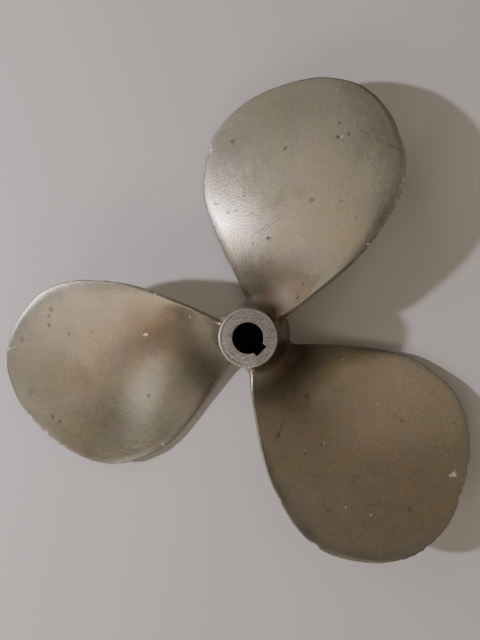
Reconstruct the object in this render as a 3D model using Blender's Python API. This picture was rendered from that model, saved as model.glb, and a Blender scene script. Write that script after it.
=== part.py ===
# Ship propeller: three wide round blades on a short boss, cast in one piece of bronze, left hand.
# Metres, +Z up. It stands on the forward end of the boss, with the aft end and the driving faces up.
# The shaft axis is the Z axis, and z = 0 is the forward face of the boss.

import math

import bmesh
import bpy

# Whole propeller
BLADE_COUNT = 3
TIP_RADIUS = 0.2125
PITCH = 0.279
FIRST_BLADE_ANGLE = 61.6
SPACING_ERRORS = (0.0, 0.9, 0.0)

# Boss, the thick middle that takes the shaft
BOSS_LENGTH = 0.073
BOSS_FORWARD_RADIUS = 0.0288
BOSS_AFT_RADIUS = 0.0222
BOSS_CHAMFER = 0.0013

# Tapered bore for the shaft, with its keyway
BORE_AFT_RADIUS = 0.0113
BORE_TAPER = 1.0 / 12.0
BORE_CHAMFER = 0.0006
KEYWAY_WIDTH = 0.0092
KEYWAY_DEPTH = 0.0036
KEYWAY_ANGLE = -47.0

# Blades. Angles run clockwise seen from aft, from the blade's reference line.
BLADE_LINE_HEIGHT = 0.0430
THICKNESS_AT_AXIS = 0.0205
THICKNESS_AT_TIP = 0.0042
THICKEST_AT = 0.45
LEADING_EDGE_AT_AXIS = 0.0040
LEADING_EDGE_AT_TIP = 0.0024
TRAILING_EDGE_AT_AXIS = 0.0036
TRAILING_EDGE_AT_TIP = 0.0019
EDGE_FALL = 0.0007
EDGE_FALL_REACH = 0.0085

# Fillets that carry each blade into the boss
FACE_FILLET = 0.0090
BACK_FILLET = 0.0125
LEADING_EDGE_FILLET = 0.0080
TRAILING_EDGE_FILLET = 0.0032
FILLET_SINK = 0.0005
BLADE_START_DEPTH = 0.0050

# Blade outline: share of the tip radius, angle of the leading edge, angle of the trailing edge
BLADE_OUTLINE = (
    (0.078, -34.5, 28.0),
    (0.120, -38.1, 29.0),
    (0.190, -44.0, 31.2),
    (0.300, -47.4, 30.4),
    (0.400, -48.0, 29.3),
    (0.500, -47.8, 27.5),
    (0.600, -46.6, 24.9),
    (0.700, -42.9, 22.0),
    (0.800, -38.1, 17.5),
    (0.900, -28.6, 10.0),
    (0.970, -16.5, 2.6),
    (1.000, -6.1, -6.1),
)

# Dents knocked into the blade edges: blade, angle from its line, distance from the axis, tool radius
EDGE_DENTS = (
    (0, -35.2, 0.1825, 0.0042),
    (1, 4.6, 0.2080, 0.0052),
    (1, -4.0, 0.2170, 0.0060),
    (2, -30.0, 0.1945, 0.0058),
)

# Fineness of the faceted surfaces
FILLET_STATIONS = 5
BLADE_STATIONS = 27
FACE_STEPS = 22
BACK_STEPS = 18
TURNED_SIDES = 72
DENT_SIDES = 16
CUTTER_OVERRUN = 0.004


def clear_scene():
    for item in list(bpy.data.objects):
        bpy.data.objects.remove(item, do_unlink=True)


def new_collection(name, shown):
    group = bpy.data.collections.new(name)
    bpy.context.scene.collection.children.link(group)
    group.hide_render = not shown
    return group


def mesh_object(name, points, faces, group):
    mesh = bpy.data.meshes.new(name)
    mesh.from_pydata(points, [], faces)
    shape = bmesh.new()
    shape.from_mesh(mesh)
    bmesh.ops.recalc_face_normals(shape, faces=shape.faces)
    shape.to_mesh(mesh)
    shape.free()
    item = bpy.data.objects.new(name, mesh)
    group.objects.link(item)
    return item


def cutter_object(name, points, faces, group):
    item = mesh_object(name, points, faces, group)
    item.hide_render = True
    item.display_type = "WIRE"
    return item


def join(target, other, operation):
    step = target.modifiers.new(other.name, "BOOLEAN")
    step.operation = operation
    step.solver = "EXACT"
    step.object = other


def turned_shape(profile, sides):
    # Rings of points around the Z axis, one for each radius and height of the profile.
    points = []
    for radius, height in profile:
        for side in range(sides):
            turn = math.tau * side / sides
            points.append((radius * math.cos(turn), radius * math.sin(turn), height))
    faces = []
    for ring in range(len(profile) - 1):
        for side in range(sides):
            after = (side + 1) % sides
            here = ring * sides
            above = here + sides
            faces.append((here + side, here + after, above + after, above + side))
    faces.append(tuple(range(sides)))
    last = (len(profile) - 1) * sides
    faces.append(tuple(range(last, last + sides)))
    return points, faces


# Boss: a turned cone, thicker at its forward end, with its rims chamfered


def boss_radius(height):
    share = min(max(height / BOSS_LENGTH, 0.0), 1.0)
    return BOSS_FORWARD_RADIUS + (BOSS_AFT_RADIUS - BOSS_FORWARD_RADIUS) * share


def boss_profile():
    low = BOSS_CHAMFER
    high = BOSS_LENGTH - BOSS_CHAMFER
    return (
        (boss_radius(0.0) - BOSS_CHAMFER, 0.0),
        (boss_radius(low), low),
        (boss_radius(high), high),
        (boss_radius(BOSS_LENGTH) - BOSS_CHAMFER, BOSS_LENGTH),
    )


# Bore: tapers to its small end at the aft face, and is eased at both mouths


def bore_radius(height):
    return BORE_AFT_RADIUS + (BOSS_LENGTH - height) * BORE_TAPER / 2.0


def bore_profile():
    ease = BORE_CHAMFER
    low = -CUTTER_OVERRUN
    high = BOSS_LENGTH + CUTTER_OVERRUN
    return (
        (bore_radius(0.0) + ease + CUTTER_OVERRUN, low),
        (bore_radius(ease), ease),
        (bore_radius(BOSS_LENGTH - ease), BOSS_LENGTH - ease),
        (bore_radius(BOSS_LENGTH) + ease + CUTTER_OVERRUN, high),
    )


def keyway_floor(height):
    half = KEYWAY_WIDTH / 2.0
    return math.sqrt(bore_radius(height) ** 2 - half**2) + KEYWAY_DEPTH


def keyway_shape():
    # A slot cut from the bore's middle, whose floor follows the taper.
    turn = math.radians(KEYWAY_ANGLE)
    along = (math.cos(turn), math.sin(turn))
    across = (-math.sin(turn), math.cos(turn))
    points = []
    for height in (-CUTTER_OVERRUN, BOSS_LENGTH + CUTTER_OVERRUN):
        reach = keyway_floor(height)
        for out, aside in ((0.0, -1.0), (reach, -1.0), (reach, 1.0), (0.0, 1.0)):
            offset = aside * KEYWAY_WIDTH / 2.0
            x = out * along[0] + offset * across[0]
            y = out * along[1] + offset * across[1]
            points.append((x, y, height))
    faces = [(0, 1, 2, 3), (4, 5, 6, 7)]
    for side in range(4):
        after = (side + 1) % 4
        faces.append((side, after, after + 4, side + 4))
    return points, faces


# Blades: sections wrapped on cylinders about the shaft axis, from inside the boss out to the tip


def outline_edge(column):
    places = [math.sqrt(1.0 - row[0]) for row in BLADE_OUTLINE]
    slopes = []
    for index in range(len(BLADE_OUTLINE)):
        before = max(index - 1, 0)
        after = min(index + 1, len(BLADE_OUTLINE) - 1)
        rise = BLADE_OUTLINE[after][column] - BLADE_OUTLINE[before][column]
        slopes.append(rise / (places[after] - places[before]))
    return column, places, slopes


LEADING = outline_edge(1)
TRAILING = outline_edge(2)


def edge_angle(share, edge):
    # A smooth curve through the outline's rows. The square root keeps the tip round.
    column, places, slopes = edge
    place = math.sqrt(max(1.0 - share, 0.0))
    row = 0
    while row < len(places) - 2 and place < places[row + 1]:
        row += 1
    span = places[row + 1] - places[row]
    at = (place - places[row]) / span
    first = BLADE_OUTLINE[row][column]
    second = BLADE_OUTLINE[row + 1][column]
    return math.radians(
        (1.0 + 2.0 * at) * (1.0 - at) ** 2 * first
        + at * (1.0 - at) ** 2 * span * slopes[row]
        + at**2 * (3.0 - 2.0 * at) * second
        + at**2 * (at - 1.0) * span * slopes[row + 1]
    )


def between(start, end, share):
    return start + (end - start) * share


def section_thickness(share, chord):
    # Thickest a little forward of the middle, and thin but not sharp at both edges.
    lead = between(LEADING_EDGE_AT_AXIS, LEADING_EDGE_AT_TIP, share)
    trail = between(TRAILING_EDGE_AT_AXIS, TRAILING_EDGE_AT_TIP, share)
    edge = between(lead, trail, chord)
    thickest = between(THICKNESS_AT_AXIS, THICKNESS_AT_TIP, share)
    if chord < THICKEST_AT:
        away = 1.0 - chord / THICKEST_AT
    else:
        away = (chord - THICKEST_AT) / (1.0 - THICKEST_AT)
    return edge + (thickest - edge) * (1.0 - away**2.2)


def rounding(distance, edge):
    # Both edges are rounded over half their thickness.
    short = 1.0 - min(distance / (0.5 * edge), 1.0)
    return math.sqrt(1.0 - short**2)


def fall(distance):
    # The driving face falls away a little along its edges.
    return max(1.0 - distance / EDGE_FALL_REACH, 0.0) ** 2


def section_spot(radius, place):
    # The section laid flat. Place 0 to 1 is the driving face from the leading edge, 1 to 2 the back.
    share = radius / TIP_RADIUS
    lead = edge_angle(share, LEADING)
    slope = math.atan2(PITCH, math.tau * radius)
    length = (edge_angle(share, TRAILING) - lead) * radius / math.cos(slope)
    chord = 0.5 - 0.5 * math.cos(math.pi * place)
    along = length * chord
    thick = section_thickness(share, chord)
    shape = rounding(along, between(LEADING_EDGE_AT_AXIS, LEADING_EDGE_AT_TIP, share))
    shape *= rounding(length - along, between(TRAILING_EDGE_AT_AXIS, TRAILING_EDGE_AT_TIP, share))
    side = 1.0 if math.sin(math.pi * place) >= 0.0 else -1.0
    outer = min(max((share - 0.16) / 0.2, 0.0), 1.0)
    lowered = outer * EDGE_FALL * (fall(length - along) + 0.5 * fall(along))
    return along, thick / 2.0 * (side * shape - 1.0) - lowered


def blade_spot(radius, place, grow):
    # Clockwise angle and height of a point of the section, grown outwards by grow.
    along, square = section_spot(radius, place)
    ahead = section_spot(radius, place + 0.002)
    behind = section_spot(radius, place - 0.002)
    run_along = ahead[0] - behind[0]
    run_square = ahead[1] - behind[1]
    size = math.hypot(run_along, run_square)
    along -= run_square / size * grow
    square += run_along / size * grow
    lead = edge_angle(radius / TIP_RADIUS, LEADING)
    slope = math.atan2(PITCH, math.tau * radius)
    angle = lead + (along * math.cos(slope) - square * math.sin(slope)) / radius
    height = BLADE_LINE_HEIGHT + PITCH * lead / math.tau
    height += along * math.sin(slope) + square * math.cos(slope)
    return angle, height


def fillet_radius(place):
    chord = 0.5 - 0.5 * math.cos(math.pi * place)
    edge = between(LEADING_EDGE_FILLET, TRAILING_EDGE_FILLET, chord)
    middle = FACE_FILLET if place < 1.0 else BACK_FILLET
    return edge + (middle - edge) * math.sin(math.pi * chord) ** 0.8


def root_spot(place, bend, depth):
    # A point of the fillet: bend 0 lies along the boss, and a quarter turn runs up the blade.
    fillet = fillet_radius(place)
    grow = fillet * (1.0 - math.sin(bend))
    out = fillet * (1.0 - math.cos(bend)) - depth
    radius = boss_radius(BOSS_LENGTH / 2.0)
    for _ in range(10):
        angle, height = blade_spot(radius, place, grow)
        radius = boss_radius(height) + out
    return angle, height, radius


def ring_places():
    face = [step / FACE_STEPS for step in range(FACE_STEPS)]
    back = [1.0 + step / BACK_STEPS for step in range(BACK_STEPS)]
    return face + back


def blade_rings():
    places = ring_places()
    rings = [[root_spot(place, 0.0, BLADE_START_DEPTH) for place in places]]
    for station in range(FILLET_STATIONS):
        bend = math.pi / 2.0 * station / (FILLET_STATIONS - 1)
        rings.append([root_spot(place, bend, FILLET_SINK) for place in places])
    root = [spot[2] for spot in rings[-1]]
    middle = sum(root) / len(root)
    start = math.sqrt(1.0 - middle / TIP_RADIUS)
    end = 0.035
    for station in range(1, BLADE_STATIONS + 1):
        part = station / BLADE_STATIONS
        even = TIP_RADIUS * (1.0 - between(start, end, part) ** 2)
        fade = max(1.0 - 3.0 * part, 0.0) ** 2
        ring = []
        for place, first in zip(places, root):
            radius = even + (first - middle) * fade
            ring.append((*blade_spot(radius, place, 0.0), radius))
        rings.append(ring)
    return rings


def blade_shape(line_angle):
    points = []
    rings = blade_rings()
    for ring in rings:
        for angle, height, radius in ring:
            turn = math.radians(line_angle) - angle
            points.append((radius * math.cos(turn), radius * math.sin(turn), height))
    count = FACE_STEPS + BACK_STEPS
    faces = []
    for station in range(len(rings) - 1):
        here = station * count
        for place in range(count):
            after = (place + 1) % count
            faces.append((here + place, here + after, here + count + after, here + count + place))
    faces.append(tuple(range(count)))
    last = (len(rings) - 1) * count
    faces.append(tuple(range(last, last + count)))
    return points, faces


def blade_line_angle(blade):
    # The casting's own small error is kept: one blade sits a little round from its even place.
    even = FIRST_BLADE_ANGLE - 360.0 / BLADE_COUNT * blade
    return even + SPACING_ERRORS[blade % len(SPACING_ERRORS)]


def dent_shape(blade, angle, distance, radius):
    turn = math.radians(blade_line_angle(blade) - angle)
    points, faces = turned_shape(
        ((radius, -CUTTER_OVERRUN), (radius, BOSS_LENGTH + CUTTER_OVERRUN)), DENT_SIDES
    )
    x = distance * math.cos(turn)
    y = distance * math.sin(turn)
    return [(px + x, py + y, pz) for px, py, pz in points], faces


def bronze():
    material = bpy.data.materials.new("tarnished_bronze")
    material.use_nodes = True
    surface = material.node_tree.nodes["Principled BSDF"]
    surface.inputs["Base Color"].default_value = (0.30, 0.25, 0.17, 1.0)
    surface.inputs["Metallic"].default_value = 0.9
    surface.inputs["Roughness"].default_value = 0.45
    return material


def main():
    clear_scene()
    shown = new_collection("ship_propeller", True)
    tools = new_collection("cutters", False)
    propeller = mesh_object(
        "propeller_casting", *turned_shape(boss_profile(), TURNED_SIDES), shown
    )
    propeller.data.materials.append(bronze())
    for blade in range(BLADE_COUNT):
        name = f"blade_blank_{blade + 1}"
        join(propeller, cutter_object(name, *blade_shape(blade_line_angle(blade)), tools), "UNION")
    bore = cutter_object("bore_cutter", *turned_shape(bore_profile(), TURNED_SIDES), tools)
    join(propeller, bore, "DIFFERENCE")
    join(propeller, cutter_object("keyway_cutter", *keyway_shape(), tools), "DIFFERENCE")
    for number, dent in enumerate(EDGE_DENTS):
        name = f"dent_cutter_{number + 1}"
        join(propeller, cutter_object(name, *dent_shape(*dent), tools), "DIFFERENCE")


main()
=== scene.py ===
# Ship propeller, left hand: three wide round blades on a short boss, one bronze casting.
# It stands on the forward end of its boss, so the aft end and the driving faces look up.
# Metres, +Z up, the shaft axis on Z and the forward face of the boss at z = 0.

import math

import bmesh
import bpy
import numpy as np
from mathutils import Matrix, Vector, noise
from mathutils.geometry import delaunay_2d_cdt


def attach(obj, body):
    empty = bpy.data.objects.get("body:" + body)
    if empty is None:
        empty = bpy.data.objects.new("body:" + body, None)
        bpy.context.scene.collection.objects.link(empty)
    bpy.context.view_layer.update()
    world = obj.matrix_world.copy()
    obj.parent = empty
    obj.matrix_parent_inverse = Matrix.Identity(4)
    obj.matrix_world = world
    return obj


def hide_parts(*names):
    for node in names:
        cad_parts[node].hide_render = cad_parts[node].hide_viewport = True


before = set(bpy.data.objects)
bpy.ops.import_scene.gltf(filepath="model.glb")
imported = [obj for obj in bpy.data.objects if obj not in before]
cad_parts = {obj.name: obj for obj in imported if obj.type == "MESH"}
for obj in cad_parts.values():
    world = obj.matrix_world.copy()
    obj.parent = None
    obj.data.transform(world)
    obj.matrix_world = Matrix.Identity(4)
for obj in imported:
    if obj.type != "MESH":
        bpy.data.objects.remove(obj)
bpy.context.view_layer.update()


# Camera: a phone's wide lens, held at arm's length over the propeller and leaning a little
# to the left. The frame is upright, so the lens is given for its long side.
camera_place = Vector((0.0440, 0.0179, 0.4521))
camera_turn = Vector((-0.0149, 0.1283, -0.0555))
camera = bpy.data.objects.new("camera", bpy.data.cameras.new("camera"))
camera.data.lens = 29.25
camera.data.sensor_width = 36.0
camera.data.clip_start = 0.02
camera.matrix_world = Matrix.Translation(camera_place) @ Matrix.Rotation(
    camera_turn.length, 4, camera_turn.normalized()
)
bpy.context.scene.collection.objects.link(camera)
bpy.context.scene.camera = camera


# Boss: a short cone of bronze that takes the shaft, cast with the blades and thicker at its
# forward end. Both ends are turned true, with their rims eased by a narrow chamfer.
BOSS_LENGTH = 0.073
BOSS_FORWARD_RADIUS = 0.0288
BOSS_AFT_RADIUS = 0.0222
BOSS_CHAMFER = 0.0013
BOSS_SIDES = 192

# The casting is gathered here as points, faces, and a few notes on each point for the finish:
# how far it is from a blade's edge, in metres and in widths of the grey band, how bitten that
# edge is, which blade it is on, and whether it is driving face, turned face or inside.
points = []
faces = []
PLAIN_SKIN = {
    "edge": 0.05,
    "band": 9.0,
    "bitten": 0.0,
    "blade": -1.0,
    "driving": 0.0,
    "turned": 0.0,
    "inside": 0.0,
}
notes = {name: [] for name in PLAIN_SKIN}


def boss_radius(height):
    share = np.clip(height / BOSS_LENGTH, 0.0, 1.0)
    return BOSS_FORWARD_RADIUS + (BOSS_AFT_RADIUS - BOSS_FORWARD_RADIUS) * share


def add_points(rows, **said):
    # New points and their notes. A note that isn't said is that of plain skin.
    first = len(points)
    points.extend(tuple(float(number) for number in row) for row in rows)
    count = len(points) - first
    for name, plain in PLAIN_SKIN.items():
        value = said.get(name, plain)
        notes[name].extend(value if hasattr(value, "__len__") else [value] * count)
    return list(range(first, len(points)))


def add_band(first, second):
    # A closed band of faces between two rings of as many points.
    for place in range(len(first)):
        after = (place + 1) % len(first)
        faces.append((first[place], first[after], second[after], second[place]))


def boss_ring(height, radius, spots, **said):
    rows = [(radius * math.cos(spot), radius * math.sin(spot), height) for spot in spots]
    return add_points(rows, **said)


# Blades: three wide sweeps of metal, flat on the driving face and rounded on the back. Each
# section lies on a cylinder round the shaft and climbs at the pitch. Outline rows are a share
# of the radius and both edges' angles, leading first, in degrees clockwise seen from aft.
TIP_RADIUS = 0.2125
PITCH = 0.279
BLADE_LINE_HEIGHT = 0.0430
BLADE_TURNS = (61.6, -57.5, -178.4)
BLADE_OUTLINE = (
    (0.078, -34.5, 28.0),
    (0.120, -38.1, 29.0),
    (0.190, -44.0, 31.2),
    (0.300, -47.4, 30.4),
    (0.400, -48.0, 29.3),
    (0.500, -47.8, 27.5),
    (0.600, -46.6, 24.9),
    (0.700, -42.9, 22.0),
    (0.800, -38.1, 17.5),
    (0.900, -28.6, 10.0),
    (0.970, -16.5, 2.6),
    (1.000, -6.1, -6.1),
)
THICKNESS_AT_AXIS = 0.0205
THICKNESS_AT_TIP = 0.0042
THICKEST_AT = 0.45
THICKNESS_CURVE = 2.2
LEADING_EDGE = (0.0040, 0.0024)
TRAILING_EDGE = (0.0036, 0.0019)
EDGE_FALL = 0.0007
EDGE_FALL_REACH = 0.0085
EDGE_FALL_GROWS = (0.16, 0.36)
LEADING_FALL_SHARE = 0.5
TIP_ROUNDING = 0.7 * LEADING_EDGE[1]
FACE_FILLET = 0.0090
BACK_FILLET = 0.0125
LEADING_EDGE_FILLET = 0.0080
TRAILING_EDGE_FILLET = 0.0032
FILLET_CURVE = 0.8
FILLET_TRIES = 12
ROOT_FADES_BY = 1 / 3
FACE_STEPS = 98
BACK_STEPS = 46
FILLET_RINGS = 10
BLADE_RINGS = 168
TIP_RINGS = 7
TIP_LEFT_OPEN = 0.35
SECTION_NUDGE = 0.002

outline_place = np.sqrt(1.0 - np.array([row[0] for row in BLADE_OUTLINE]))
face_places = np.arange(FACE_STEPS) / FACE_STEPS
back_places = 1 + np.arange(BACK_STEPS) / BACK_STEPS
round_section = np.concatenate([face_places, back_places])


def edge_angle(share, column):
    # A smooth curve through the outline's rows. The square root keeps the tip round.
    values = np.array([row[column] for row in BLADE_OUTLINE])
    before = np.maximum(np.arange(len(values)) - 1, 0)
    after = np.minimum(np.arange(len(values)) + 1, len(values) - 1)
    slopes = (values[after] - values[before]) / (outline_place[after] - outline_place[before])
    place = np.sqrt(np.clip(1.0 - share, 0.0, None))
    row = np.clip(np.searchsorted(-outline_place, -place) - 1, 0, len(values) - 2)
    span = outline_place[row + 1] - outline_place[row]
    at = (place - outline_place[row]) / span
    return np.radians(
        (1 + 2 * at) * (1 - at) ** 2 * values[row]
        + at * (1 - at) ** 2 * span * slopes[row]
        + at**2 * (3 - 2 * at) * values[row + 1]
        + at**2 * (at - 1) * span * slopes[row + 1]
    )


def eased(values, share):
    return values[0] + (values[1] - values[0]) * share


def section(radius, place):
    # Along the chord and square to it, with the section laid flat. Places 0 to 1 are the
    # driving face from the leading edge, and 1 to 2 the back on the way home.
    share = np.clip(radius / TIP_RADIUS, 0.0, 1.0)
    lead = edge_angle(share, 1)
    slope = np.arctan2(PITCH, math.tau * radius)
    length = (edge_angle(share, 2) - lead) * radius / np.cos(slope)
    chord = 0.5 - 0.5 * np.cos(math.pi * place)
    along = length * chord
    lead_edge = eased(LEADING_EDGE, share)
    trail_edge = eased(TRAILING_EDGE, share)
    thickest = eased((THICKNESS_AT_AXIS, THICKNESS_AT_TIP), share)
    edge = eased((lead_edge, trail_edge), chord)
    ahead = 1 - chord / THICKEST_AT
    astern = (chord - THICKEST_AT) / (1 - THICKEST_AT)
    thick = edge + (thickest - edge) * (1 - np.maximum(ahead, astern) ** THICKNESS_CURVE)
    nose = np.clip(along / (0.5 * lead_edge), 0.0, 1.0)
    tail = np.clip((length - along) / (0.5 * trail_edge), 0.0, 1.0)
    tip = np.clip((radius - TIP_RADIUS + TIP_ROUNDING) / TIP_ROUNDING, 0.0, 1.0)
    rounded = np.sqrt((1 - (1 - nose) ** 2) * (1 - (1 - tail) ** 2) * (1 - tip**2))
    side = np.where(np.sin(math.pi * place) >= 0, 1.0, -1.0)
    starts, whole = EDGE_FALL_GROWS
    outer = np.clip((share - starts) / (whole - starts), 0.0, 1.0)
    near_trail = np.clip(1 - (length - along) / EDGE_FALL_REACH, 0.0, 1.0)
    near_lead = np.clip(1 - along / EDGE_FALL_REACH, 0.0, 1.0)
    fall = outer * EDGE_FALL * (near_trail**2 + LEADING_FALL_SHARE * near_lead**2)
    square = (side * rounded - 1) * thick / 2 - fall
    return along, square, lead, slope


def blade_ring(radius, grow):
    # Clockwise angle and height round one section, grown outwards by grow.
    along, square, lead, slope = section(radius, round_section)
    ahead = section(radius, round_section + SECTION_NUDGE)
    behind = section(radius, round_section - SECTION_NUDGE)
    run_along = ahead[0] - behind[0]
    run_square = ahead[1] - behind[1]
    size = np.maximum(np.hypot(run_along, run_square), 1e-12)
    along = along - run_square / size * grow
    square = square + run_along / size * grow
    angle = lead + (along * np.cos(slope) - square * np.sin(slope)) / radius
    height = BLADE_LINE_HEIGHT + PITCH * lead / math.tau
    height = height + along * np.sin(slope) + square * np.cos(slope)
    return angle, height


def blade_rings():
    # From the boss surface, round the root fillet, and out to the tip. Each ring of the
    # fillet is tried again and again, as the boss is narrower where the ring sits higher.
    chord = 0.5 - 0.5 * np.cos(math.pi * round_section)
    at_edge = eased((LEADING_EDGE_FILLET, TRAILING_EDGE_FILLET), chord)
    middle = np.where(round_section < 1, FACE_FILLET, BACK_FILLET)
    fillet = at_edge + (middle - at_edge) * np.sin(math.pi * chord) ** FILLET_CURVE
    rings = []
    radius = np.full(len(round_section), boss_radius(BOSS_LENGTH / 2))
    for ring in range(FILLET_RINGS + 1):
        bend = math.pi / 2 * ring / FILLET_RINGS
        grow = fillet * (1 - math.sin(bend))
        for _ in range(FILLET_TRIES):
            angle, height = blade_ring(radius, grow)
            radius = boss_radius(height) + fillet * (1 - math.cos(bend))
        rings.append((angle, height, radius.copy()))
    root = radius.copy()
    end_share = TIP_ROUNDING / TIP_RADIUS
    ends = (math.sqrt(1 - root.mean() / TIP_RADIUS), math.sqrt(end_share))
    for step in range(1, BLADE_RINGS + 1):
        part = step / BLADE_RINGS
        fade = max(1 - part / ROOT_FADES_BY, 0.0) ** 2
        radius = TIP_RADIUS * (1 - eased(ends, part) ** 2) + (root - root.mean()) * fade
        rings.append((*blade_ring(radius, 0.0), radius))
    for step in range(1, TIP_RINGS + 1):
        bend = math.pi / 2 * step / (TIP_RINGS + TIP_LEFT_OPEN)
        radius = np.full(len(root), TIP_RADIUS * (1 - end_share * (1 - math.sin(bend))))
        rings.append((*blade_ring(radius, 0.0), radius))
    return rings


# Blade edges: rounded when the casting was dressed, and bruised since. A dent is a blade, an
# angle, a distance from the axis and the radius of what struck it. A nick is the same place
# with half its width and its depth.
EDGE_DENTS = (
    (0, -35.2, 0.1825, 0.0042),
    (1, 4.6, 0.2080, 0.0052),
    (1, -4.0, 0.2170, 0.0060),
    (2, -30.0, 0.1945, 0.0058),
)
EDGE_NICKS = (
    (0, -40.5, 0.1600, 0.0030, 0.0007),
    (0, -47.9, 0.0985, 0.0016, 0.0006),
    (0, 26.9, 0.1115, 0.0016, 0.0005),
    (0, 24.2, 0.1500, 0.0022, 0.0009),
    (0, 22.3, 0.1600, 0.0030, 0.0012),
    (0, 20.6, 0.1650, 0.0016, 0.0008),
    (1, 18.6, 0.1660, 0.0040, 0.0012),
    (1, -16.4, 0.2065, 0.0040, 0.0013),
    (1, -23.0, 0.1990, 0.0024, 0.0008),
    (1, 26.0, 0.1250, 0.0016, 0.0005),
    (2, 22.3, 0.1520, 0.0026, 0.0010),
    (2, 29.6, 0.0800, 0.0018, 0.0006),
    (2, -44.9, 0.1285, 0.0026, 0.0009),
    (2, -38.9, 0.1690, 0.0020, 0.0006),
    (2, -20.6, 0.2020, 0.0026, 0.0009),
    (2, -15.5, 0.2070, 0.0020, 0.0007),
    (2, -25.4, 0.1960, 0.0024, 0.0008),
)
# Stretches where the edge is worn ragged: blade, angle, distance, reach and depth.
RAGGED_EDGES = (
    (0, 21.5, 0.160, 0.030, 0.0007),
    (0, -44.0, 0.140, 0.020, 0.0004),
    (1, 0.0, 0.211, 0.034, 0.0006),
    (1, -22.0, 0.205, 0.026, 0.0007),
    (2, -24.0, 0.200, 0.036, 0.0007),
    (2, 24.0, 0.130, 0.030, 0.0004),
)
EDGE_WAVER = 0.00022
WAVERS_PER_METRE = 95
TEETH_PER_METRE = 260
TEETH_SHARE = 0.25
TEETH_LENGTH = 1.6
NICK_CURVE = 0.7
FRESH_BITE = 0.0010
BRUISE_REACH = 0.0065
BRUISE_CURVE = 1.5
TRAILING_BAND = 0.0100
LEADING_BAND = 0.0050
BAND_GROWS = (0.070, 0.110)
LEAST_BAND = 0.08
RIM_STARTS = 0.14
RIM_PLACES = 330


def blade_plan(angle, radius):
    # Seen from aft, with the blade's line along X.
    return np.stack([radius * np.cos(-angle), radius * np.sin(-angle)], axis=-1)


rim_shares = 1 - np.linspace(math.sqrt(1 - RIM_STARTS), 0.0, RIM_PLACES) ** 2
leading_rim = blade_plan(edge_angle(rim_shares, 1), rim_shares * TIP_RADIUS)
trailing_rim = blade_plan(edge_angle(rim_shares, 2), rim_shares * TIP_RADIUS)
rim = np.concatenate([leading_rim, trailing_rim[-2::-1]])
rim_run = np.gradient(rim, axis=0)
rim_run /= np.linalg.norm(rim_run, axis=1)[:, None]
rim_inward = np.stack([rim_run[:, 1], -rim_run[:, 0]], axis=1)
rim_place = np.concatenate([[0.0], np.cumsum(np.linalg.norm(np.diff(rim, axis=0), axis=1))])
rim_trails = np.arange(len(rim)) >= len(leading_rim)


def bites(blade):
    # How far each place of the rim is pushed in. Each blade has a row of the noise to itself.
    depth = np.zeros(len(rim))
    for number, place in enumerate(rim_place):
        waver = noise.noise(Vector((place * WAVERS_PER_METRE, blade * 7.3, 0.4)))
        depth[number] = EDGE_WAVER * (1 + waver)
        for owner, angle, distance, reach, ragged in RAGGED_EDGES:
            if owner != blade:
                continue
            middle = blade_plan(np.radians(angle), distance)
            near = math.exp(-((np.linalg.norm(rim[number] - middle) / reach) ** 2))
            teeth = noise.noise(Vector((place * TEETH_PER_METRE, blade * 3.1, 5.0)))
            depth[number] += near * ragged * max(teeth + TEETH_SHARE, 0.0) * TEETH_LENGTH
    for owner, angle, distance, struck in EDGE_DENTS:
        if owner != blade:
            continue
        middle = blade_plan(np.radians(angle), distance)
        nearest = np.argmin(np.linalg.norm(rim - middle, axis=1))
        outside = -np.dot(middle - rim[nearest], rim_inward[nearest])
        away = rim_place - rim_place[nearest]
        depth = np.maximum(depth, np.sqrt(np.clip(struck**2 - away**2, 0.0, None)) - outside)
    for owner, angle, distance, half, sunk in EDGE_NICKS:
        if owner != blade:
            continue
        middle = blade_plan(np.radians(angle), distance)
        nearest = np.argmin(np.linalg.norm(rim - middle, axis=1))
        away = (rim_place - rim_place[nearest]) / half
        depth = depth + sunk * np.clip(1 - away**2, 0.0, None) ** NICK_CURVE
    return depth


def bruised(angle, radius, blade):
    # Plan places of one ring after the bites, with the distance of each from the rim, its
    # share of the grey band and how fresh the rim beside it is.
    plan = blade_plan(angle, radius)
    gaps = np.linalg.norm(plan[:, None, :] - rim[None, :, :], axis=2)
    nearest = gaps.argmin(axis=1)
    gap = gaps[np.arange(len(plan)), nearest]
    soft = np.clip(1 - gap / BRUISE_REACH, 0.0, 1.0) ** BRUISE_CURVE
    plan = plan + rim_inward[nearest] * (rim_bites[blade][nearest] * soft)[:, None]
    starts, whole = BAND_GROWS
    grown = np.clip((radius - starts) / (whole - starts), LEAST_BAND, 1.0)
    width = np.where(rim_trails[nearest], TRAILING_BAND, LEADING_BAND) * grown
    fresh = np.clip(rim_bites[blade][nearest] / FRESH_BITE, 0.0, 1.0)
    return plan, gap, gap / width, fresh


rim_bites = [bites(blade) for blade in range(len(BLADE_TURNS))]
driving_side = [1.0] * (FACE_STEPS + 1) + [0.0] * (BACK_STEPS - 1)
root_loops = []
rings = blade_rings()
for blade, line_turn in enumerate(BLADE_TURNS):
    line = math.radians(line_turn)
    before = None
    for number, (angle, height, radius) in enumerate(rings):
        plan, gap, band, fresh = bruised(angle, radius, blade)
        if number <= FILLET_RINGS:
            plan = blade_plan(angle, radius)
        x = plan[:, 0] * math.cos(line) - plan[:, 1] * math.sin(line)
        y = plan[:, 0] * math.sin(line) + plan[:, 1] * math.cos(line)
        ring = add_points(
            np.stack([x, y, height], axis=1),
            edge=gap.tolist(),
            band=band.tolist(),
            bitten=fresh.tolist(),
            blade=float(blade),
            driving=driving_side,
        )
        if number == 0:
            root_loops.append((ring, line - angle, height))
        else:
            add_band(before, ring)
        before = ring
    faces.append(tuple(before))


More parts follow.
